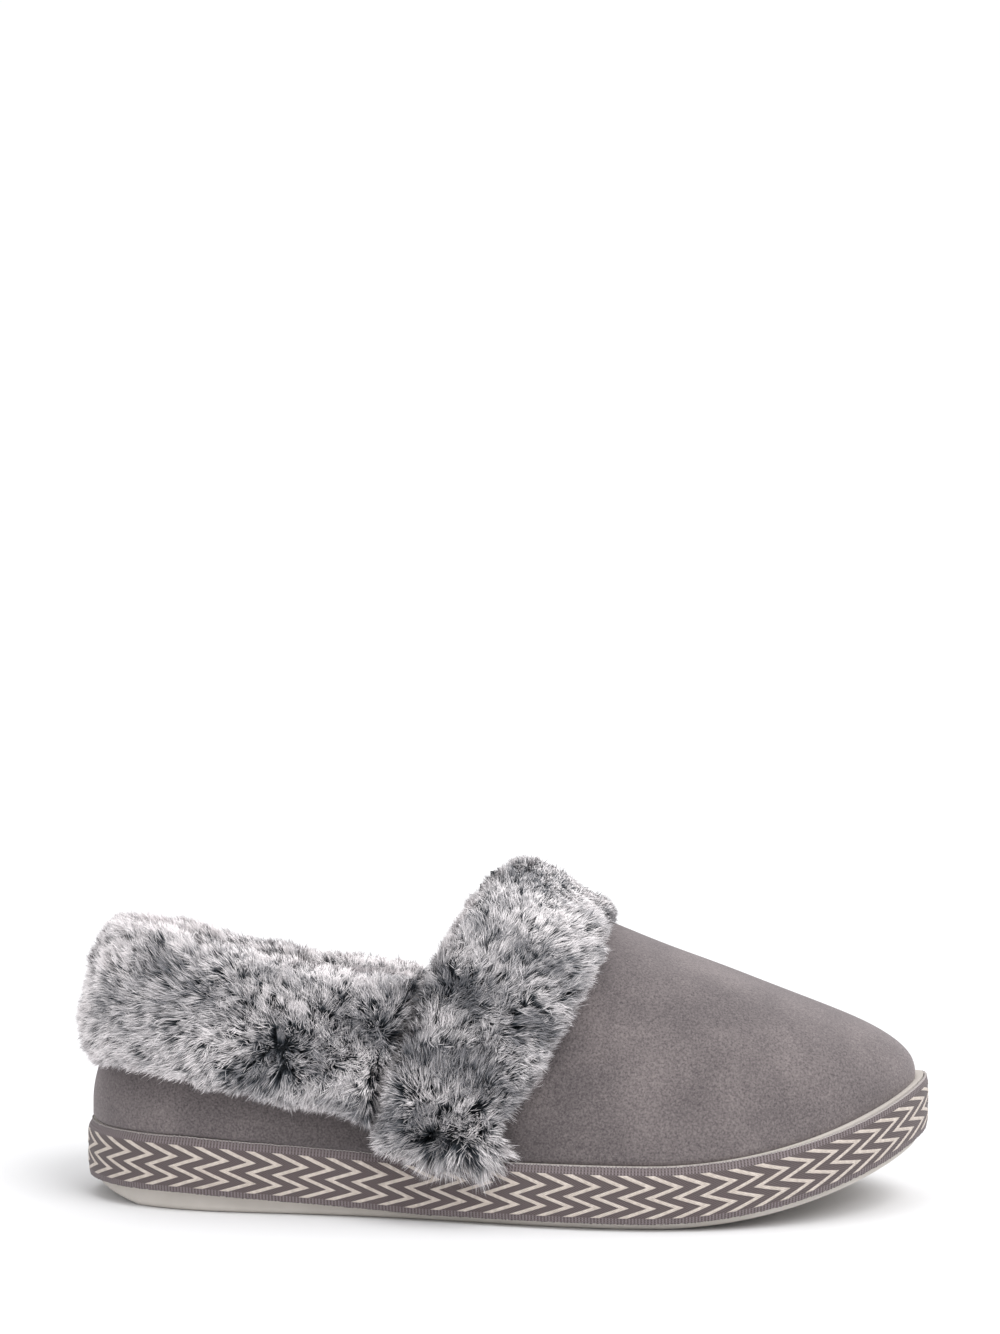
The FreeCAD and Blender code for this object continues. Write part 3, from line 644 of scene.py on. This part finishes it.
def furrow_depth(places):
    """1 on the line of a furrow, falling to 0 away from it."""
    spot = places[:, [0, 2]] / MM
    depth = np.zeros(len(spot))
    for line, width in FURROWS:
        nearest = np.full(len(spot), np.inf)
        for start, end in zip(np.array(line[:-1], float), np.array(line[1:], float)):
            part = np.clip((spot - start) @ (end - start) / ((end - start) @ (end - start)), 0, 1)
            foot = start + part[:, None] * (end - start)
            nearest = np.minimum(nearest, np.linalg.norm(spot - foot, axis=1))
        depth = np.maximum(depth, np.exp(-(nearest / width) ** 2))
    return depth


COVER_REACH = 7 * MM


def covered(places, outward, tree):
    """Which places look at the rest of the slipper close by, and not into the open."""
    hits = [tree.ray_cast(Vector(place + normal * 0.2 * MM), Vector(normal), COVER_REACH)[0]
            for place, normal in zip(places, outward)]
    return np.array([hit is not None for hit in hits])


def scattered(points, normals, faces, per_mm2):
    """Random places on quad faces, with their normals."""
    corner = points[faces]
    diagonals = corner[:, 2] - corner[:, 0], corner[:, 3] - corner[:, 1]
    area = 0.5 * np.linalg.norm(np.cross(*diagonals), axis=1)
    count = int(area.sum() / MM ** 2 * per_mm2)
    chosen = rng.choice(len(faces), count, p=area / area.sum())
    first, second = rng.random((2, count, 1))
    blend = [(1 - first) * (1 - second), first * (1 - second), first * second, (1 - first) * second]
    places = sum(part * corner[chosen, number] for number, part in enumerate(blend))
    turned = unit(sum(part * normals[faces][chosen, number] for number, part in enumerate(blend)))
    return places, turned


# A strand's segments from root to tip, the shades it may have, and the most strands of one piece.
SEGMENTS = 4
SHADES = 24
LARGEST_PIECE = 26000


def interlaced(left, right, last):
    """Per strand the left and right values in turn up to its last value, as one row per vertex."""
    rows = np.empty((len(last), 2 * SEGMENTS + 1, last.shape[1]))
    rows[:, 0:-1:2] = left
    rows[:, 1:-1:2] = right
    rows[:, -1] = last
    return rows.reshape(-1, last.shape[1])


def strand_faces(count, facing):
    """Triangles of count strands; those that don't face outwards are turned round."""
    left = np.arange(0, 2 * SEGMENTS - 2, 2)
    sides = [np.column_stack([left, left + 1, left + 3]), np.column_stack([left, left + 3, left + 2])]
    pattern = np.vstack([*sides, [2 * SEGMENTS - 2, 2 * SEGMENTS - 1, 2 * SEGMENTS]])
    faces = pattern[None] + (np.arange(count) * (2 * SEGMENTS + 1))[:, None, None]
    faces[~facing] = faces[~facing][:, :, ::-1]
    return faces.reshape(-1, 3)


def strand_layer(shade, steps):
    """Place of each vertex in the bake layer: a column for the strand's shade, and root to tip up it."""
    column = np.floor(np.clip(shade, 0, 0.999) * SHADES)[:, None]
    climb = np.broadcast_to(0.01 + 0.98 * steps, (len(shade), SEGMENTS))
    sides = [(column + part) / SHADES + 0 * climb for part in (0.15, 0.85)]
    left, right = [np.stack([side, climb], axis=-1) for side in sides]
    top = np.column_stack([(column + 0.5) / SHADES, np.full(len(shade), 0.99)])
    return interlaced(left, right, top)


def ribbons(name, roots, bends, tips, outward, width, shade, material):
    """Strands as thin tapering ribbons, cut into pieces of a handy size along the slipper."""
    order = np.argsort(roots[:, 0])
    steps = np.arange(SEGMENTS) / SEGMENTS
    late = steps[:, None]
    early = 1 - late
    pieces = max(1, math.ceil(len(order) / LARGEST_PIECE))
    for number, chosen in enumerate(np.array_split(order, pieces)):
        root, bend, tip = (item[chosen][:, None] for item in (roots, bends, tips))
        normal = outward[chosen]
        centre = early ** 2 * root + 2 * late * early * bend + late ** 2 * tip
        along = unit(2 * early * (bend - root) + 2 * late * (tip - bend))
        across = unit(np.cross(along, normal[:, None]))
        turn = rng.uniform(-0.7, 0.7, (len(chosen), 1, 1))
        across = unit(across * np.cos(turn) + np.cross(along, across) * np.sin(turn))
        taper = (1 - 0.55 * steps)[None, :, None] * width[chosen][:, None, None] / 2
        points = interlaced(centre - across * taper, centre + across * taper, tips[chosen])
        facing = np.einsum("ij,ij->i", np.cross(across[:, 1], along[:, 1]), normal) > 0
        faces = strand_faces(len(chosen), facing)
        piece = new_piece(f"{name}_{number + 1}", points, faces, material)
        flat_normal = np.cross(across, along)
        flat_normal *= np.sign(np.einsum("ijk,ik->ij", flat_normal, normal) + 1e-9)[..., None]
        soft = unit(0.55 * flat_normal + 0.75 * normal[:, None])
        shown = interlaced(soft, soft, soft[:, -1])
        piece.data.normals_split_custom_set_from_vertices(shown.astype(np.float32))
        set_layer(piece, BAKE_LAYER, strand_layer(shade[chosen], steps))


def held_in(tips, tree, proud):
    """Tips brought back so that none stands further out of the surface than its own share of proud."""
    held = tips.copy()
    for number, tip in enumerate(tips):
        spot, normal, _, _ = tree.find_nearest(Vector(tip))
        out = (Vector(tip) - spot).dot(normal)
        if out > proud[number]:
            held[number] = tip - np.array(normal) * (out - proud[number])
    return held


def locks(places, area):
    """Groups the strands into small locks: the number of locks and each strand's own lock."""
    count = max(1, int(len(places) / area))
    tree = KDTree(count)
    for number, chosen in enumerate(rng.choice(len(places), count, replace=False)):
        tree.insert(places[chosen], number)
    tree.balance()
    return count, np.array([tree.find(place)[1] for place in places])


def grow(places, outward, flat, length, depth, own, count, pull):
    """Roots, bends and tips of curved strands that lean along flat and meet in their own locks."""
    flat = flat - outward * (flat * outward).sum(axis=1, keepdims=True)
    reach = np.linalg.norm(flat, axis=1, keepdims=True)
    flat = flat * np.minimum(1, 0.92 / np.maximum(reach, 1e-6))
    rise = length[:, None] * np.sqrt(1 - (flat ** 2).sum(axis=1, keepdims=True))
    roots = places - outward * depth
    tips = roots + outward * rise + flat * length[:, None]
    middle = np.column_stack([np.bincount(own, tips[:, axis], count) for axis in range(3)])
    middle /= np.maximum(np.bincount(own, minlength=count), 1)[:, None]
    tips += pull[own][:, None] * (middle[own] - tips)
    bends = roots + outward * rise * 0.72 + flat * length[:, None] * 0.2
    return roots, bends, tips


# The long pile's pads: mesh size, how much they shrink before the air swells them by up to the cap, how
# far their crests over the instep and at the heel are moved, and how deep the backing lies in them.
PAD_VOXEL = 4.5 * MM
PAD_SHRINK = 0.8 * MM
PAD_CAP = 2.6 * MM
INSTEP_DROP = 4.2 * MM
HEEL_CREST = 3.8 * MM
BACKING_DEPTH = 4.2 * MM
# The long pile itself: roots under the surface, strands to a square millimetre, the area of one lock and
# the strands' length, and how much longer they are where they drape over the tape.
PILE_ROOT = 6.5 * MM
PILE_DENSITY = 8.5
LOCK_AREA = 2.6
PILE_LENGTH = 11.0
DRAPE_LENGTH = 5.5 * MM


def padded_shape(parts, tree):
    """Outer surface of the pile: the nodes' joined shape, swollen, with its crests set."""
    mesh = relaxed(remeshed(parts, PAD_VOXEL), 4)
    points, normals, faces = arrays(mesh)
    inner = covered(points, normals, tree)
    points -= normals * PAD_SHRINK
    mesh = swollen(mesh, points, inner, PAD_CAP)
    points, normals, faces = arrays(relaxed(mesh, 2))
    instep = smooth(points[:, 0], 8 * MM, 30 * MM) * smooth(points[:, 2], 74 * MM, 94 * MM)
    points[:, 2] -= INSTEP_DROP * instep
    heel = smooth(points[:, 0], -132 * MM, -118 * MM) * smooth(points[:, 0], -90 * MM, -106 * MM)
    points[:, 2] += HEEL_CREST * heel * smooth(points[:, 2], 66 * MM, 82 * MM)
    return points, normals, faces


def pile_fabric(name, parts, others):
    """Backing and long pile of the pile-fabric nodes named in parts, sewn together without a gap."""
    tree = BVHTree.FromPolygons(*[item.tolist() for item in copied(others)])
    points, normals, faces = padded_shape(parts, tree)
    hidden = covered(points[faces].mean(axis=1), unit(normals[faces].mean(axis=1)), tree)
    places, outward = scattered(points, normals, faces[~hidden], PILE_DENSITY)
    count = len(places)
    lock_count, own = locks(places, PILE_DENSITY * LOCK_AREA)
    furrow = furrow_depth(places)
    swirl = np.column_stack([waves(places, 15 * MM, seed) for seed in (11, 12, 13)])
    flat = stroked(places, outward) + 0.13 * swirl
    flat += rng.normal(0, 0.17, (lock_count, 3))[own] + rng.normal(0, 0.14, (count, 3))
    length = (PILE_LENGTH + 1.3 * rng.normal(size=lock_count)[own] + 1.0 * rng.normal(size=count)) * MM
    length *= 1 - 0.22 * furrow
    beside_strap_foot = smooth(np.abs(places[:, 0] + 9 * MM), 20 * MM, 3 * MM)
    drape = smooth(places[:, 2], 31 * MM, 22 * MM) * beside_strap_foot
    length += DRAPE_LENGTH * drape
    flat[:, 2] -= 0.35 * drape
    pull = rng.uniform(0.15, 0.6, lock_count)
    roots, bends, tips = grow(places, outward, flat, length, PILE_ROOT, own, lock_count, pull)
    ragged = 0.8 * waves(places, 11 * MM, 17)
    proud = 1.3 + ragged + 1.5 * rng.random(lock_count)[own] + 0.7 * rng.normal(size=count)
    pressed = smooth(outward[:, 2], 0.3, 0.8) * smooth(places[:, 2], 86 * MM, 96 * MM)
    proud += 12.0 * drape - 2.2 * pressed
    surface = BVHTree.FromPolygons(points.tolist(), faces.tolist())
    tips = held_in(tips, surface, proud * MM)
    width = rng.uniform(0.18, 0.34, count) * MM
    inward = smooth(-(outward[:, 1] * np.sign(places[:, 1])), 0.1, 0.6)
    shade = 0.52 + 0.28 * waves(places, 20 * MM, 21) + 0.17 * rng.normal(size=lock_count)[own]
    # Painted shade: strands in a furrow are darker, for the shade that falls into the parting.
    shade += 0.22 * rng.normal(size=count) - 0.4 * furrow + 0.35 * inward
    # Painted highlight: pile that faces up or down is lighter, for the light on its rims.
    shade += 0.3 * smooth(np.abs(outward[:, 2]), 0.35, 0.85) + 0.35 * smooth(-outward[:, 0], 0.3, 0.8)
    dark_tip, light_tip = srgb(128, 128, 133), srgb(254, 249, 250)
    cloth = pile(name + "_pile", srgb(36, 42, 48), srgb(68, 73, 80), dark_tip, light_tip)
    ribbons(name + "_pile", roots, bends, tips, outward, width, shade, cloth)
    skin = points - normals * BACKING_DEPTH
    dark = plush(name + "_backing", srgb(36, 42, 47), srgb(64, 68, 74))
    backing = new_piece(name + "_backing", skin, faces, dark)
    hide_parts(*parts)


# Short curly pile inside the slipper: length in millimetres, root depth, strands to a square millimetre,
# the area of one curl, and the part of the inside that the mouth shows.
FLEECE_LENGTH = 4.6
FLEECE_ROOT = 2.2 * MM
FLEECE_DENSITY = 4.0
CURL_AREA = 5.0
SHOWN_BEHIND = 25 * MM
SHOWN_ABOVE = 22 * MM


def fleece(name, points, normals, faces, material):
    """Short curly pile on the faces that show through the slipper's mouth."""
    centres = points[faces].mean(axis=1)
    facing = unit(normals[faces].mean(axis=1))
    inwards = facing[:, 2] > 0.6
    inwards |= (facing[:, :2] * (centres[:, :2] - (-40 * MM, 0))).sum(axis=1) < -4 * MM
    chosen = faces[inwards & (centres[:, 0] < SHOWN_BEHIND) & (centres[:, 2] > SHOWN_ABOVE)]
    places, outward = scattered(points, normals, chosen, FLEECE_DENSITY)
    count, own = locks(places, FLEECE_DENSITY * CURL_AREA)
    flat = 0.45 * np.column_stack([waves(places, 6 * MM, seed) for seed in (41, 42, 43)])
    flat += rng.normal(0, 0.3, (count, 3))[own] + rng.normal(0, 0.2, places.shape)
    length = FLEECE_LENGTH * rng.uniform(0.75, 1.15, len(places)) * MM
    pull = rng.uniform(0.4, 0.9, count)
    roots, bends, tips = grow(places, outward, flat, length, FLEECE_ROOT, own, count, pull)
    width = rng.uniform(0.3, 0.5, len(places)) * MM
    shade = 0.5 + 0.2 * rng.normal(size=count)[own] + 0.15 * rng.normal(size=len(places))
    ribbons(name, roots, bends, tips, outward, width, shade, material)


# ---------------------------------------------------------------- inside and CAD nodes


def finish_nodes():
    """Materials of the CAD nodes that keep their own shape."""
    kept = {
        "cup_outsole": rubber(),
        "midsole_foam": foam("filler_foam", srgb(196, 190, 180), srgb(214, 209, 200)),
        "footbed_foam": foam("cushion_foam", srgb(206, 202, 196), srgb(226, 222, 216)),
        "insole_board": fibre_board(),
        "strobel_stitches": thread(),
    }
    stiff = foam("stiffener_felt", srgb(150, 146, 142), srgb(180, 176, 170))
    kept["toe_puff"] = stiff
    kept["heel_counter"] = stiff
    for node, material in kept.items():
        mesh = nodes[node].data
        for number in range(len(mesh.materials)):
            mesh.materials[number] = material


LINING_VOXEL = 1.6 * MM
FOOTBED_VOXEL = 4 * MM
FOOTBED_SHRINK = 0.6 * MM
FOOTBED_CAP = 1.2 * MM


def lining():
    """Pile lining and footbed cover: soft bodies with short curly pile where the foot goes in."""
    cloth = plush("lining_pile", srgb(150, 141, 137), srgb(196, 188, 182))
    dark_tip, light_tip = srgb(182, 174, 169), srgb(222, 215, 209)
    curls = pile("fleece_pile", srgb(128, 119, 115), srgb(164, 156, 151), dark_tip, light_tip)
    for node in ("vamp_lining", "lateral_quarter_lining", "medial_quarter_lining"):
        points, normals, faces = arrays(relaxed(remeshed([node], LINING_VOXEL), 3))
        points -= normals * (0.35 * MM + 0.25 * MM * waves(points, 7 * MM, 31))[:, None]
        piece = new_piece(node + "_fleece", points, faces, cloth)
        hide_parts(node)
        fleece(node + "_curls", points, normals, faces, curls)
    mesh = relaxed(remeshed(["footbed_sock"], FOOTBED_VOXEL), 2)
    points, normals, faces = arrays(mesh)
    underside = normals[:, 2] < -0.5
    mesh = swollen(mesh, points - normals * FOOTBED_SHRINK, underside, FOOTBED_CAP)
    points, normals, faces = arrays(mesh)
    piece = new_piece("footbed_fleece", points, faces, cloth)
    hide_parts("footbed_sock")
    fleece("footbed_curls", points, normals, faces, curls)


# ---------------------------------------------------------------- floor, light and camera


FLOOR_HALF = 6.0
AMBIENT = 0.55
SEEN_WHITE = 1.02
# Name, where it shines from, angular width in degrees and strength of each lamp.
LAMPS = [
    ("key", (0.75, -0.75, 1.3), 38, 1.95),
    ("fill", (-0.9, -0.9, 0.9), 50, 0.55),
    ("top", (0.2, 0.3, 1.6), 65, 1.5),
]
CAMERA_LENS = 100
CAMERA_SENSOR = 36
CAMERA_AZIMUTH = math.radians(4.7)
CAMERA_ELEVATION = math.radians(10.3)
CAMERA_DISTANCE = 1.160
CAMERA_TILT_UP = math.radians(5.93)
CAMERA_TARGET = Vector((-0.0017, 0, 0.045))


def floor_and_room():
    """Pale floor in a white room that looks a little brighter than it shines."""
    mesh = bpy.data.meshes.new("floor")
    half = FLOOR_HALF
    mesh.from_pydata([(-half, -half, 0), (half, -half, 0), (half, half, 0), (-half, half, 0)], [],
                     [(0, 1, 2, 3)])
    floor = bpy.data.objects.new("floor", mesh)
    bpy.context.collection.objects.link(floor)
    pale = Shader("pale_floor", Roughness=0.9, Specular_IOR_Level=0.1)
    pale.colour(pale.ramp(pale.noise(3.0, 2.0), [(0.3, (0.74, 0.74, 0.75)), (0.7, (0.77, 0.77, 0.78))]))
    mesh.materials.append(pale.material)
    world = bpy.data.worlds.new("white_room")
    world.use_nodes = True
    tree = world.node_tree
    background = tree.nodes["Background"]
    background.inputs["Color"].default_value = (1, 1, 1, 1)
    seen = tree.nodes.new("ShaderNodeLightPath").outputs["Is Camera Ray"]
    strength = tree.nodes.new("ShaderNodeMapRange")
    strength.inputs["To Min"].default_value = AMBIENT
    strength.inputs["To Max"].default_value = SEEN_WHITE
    tree.links.new(seen, strength.inputs["Value"])
    tree.links.new(strength.outputs["Result"], background.inputs["Strength"])
    bpy.context.scene.world = world


def lamps():
    """Wide soft lamps from the front, the side and above."""
    for name, place, spread, strength in LAMPS:
        data = bpy.data.lights.new(name, "SUN")
        data.energy = strength
        data.angle = math.radians(spread)
        light = bpy.data.objects.new(name, data)
        light.location = place
        light.rotation_euler = (-Vector(place)).to_track_quat("-Z", "Y").to_euler()
        bpy.context.collection.objects.link(light)


def camera():
    """A long lens low on the outer side, aimed above the target by its tilt."""
    data = bpy.data.cameras.new("camera")
    data.lens = CAMERA_LENS
    data.sensor_width = CAMERA_SENSOR
    holder = bpy.data.objects.new("camera", data)
    level = math.cos(CAMERA_ELEVATION)
    towards = Vector((math.sin(CAMERA_AZIMUTH) * level, -math.cos(CAMERA_AZIMUTH) * level,
                      math.sin(CAMERA_ELEVATION)))
    holder.location = CAMERA_TARGET + towards * CAMERA_DISTANCE
    aimed = (-towards).to_track_quat("-Z", "Y").to_matrix()
    holder.rotation_euler = (aimed @ Matrix.Rotation(CAMERA_TILT_UP, 3, "X")).to_euler()
    bpy.context.collection.objects.link(holder)
    bpy.context.scene.camera = holder
    bpy.context.scene.view_settings.view_transform = "Standard"


# ---------------------------------------------------------------- make everything


floor_and_room()
lamps()
camera()
finish_nodes()
tape()
suede_panels()
lining()
cuff_nodes = ("lateral_cuff", "medial_cuff")
other_nodes = [node for node in nodes if node not in cuff_nodes and node != "instep_strap"]
pile_fabric("cuff", cuff_nodes, other_nodes)
pile_fabric("strap", ("instep_strap",), other_nodes)
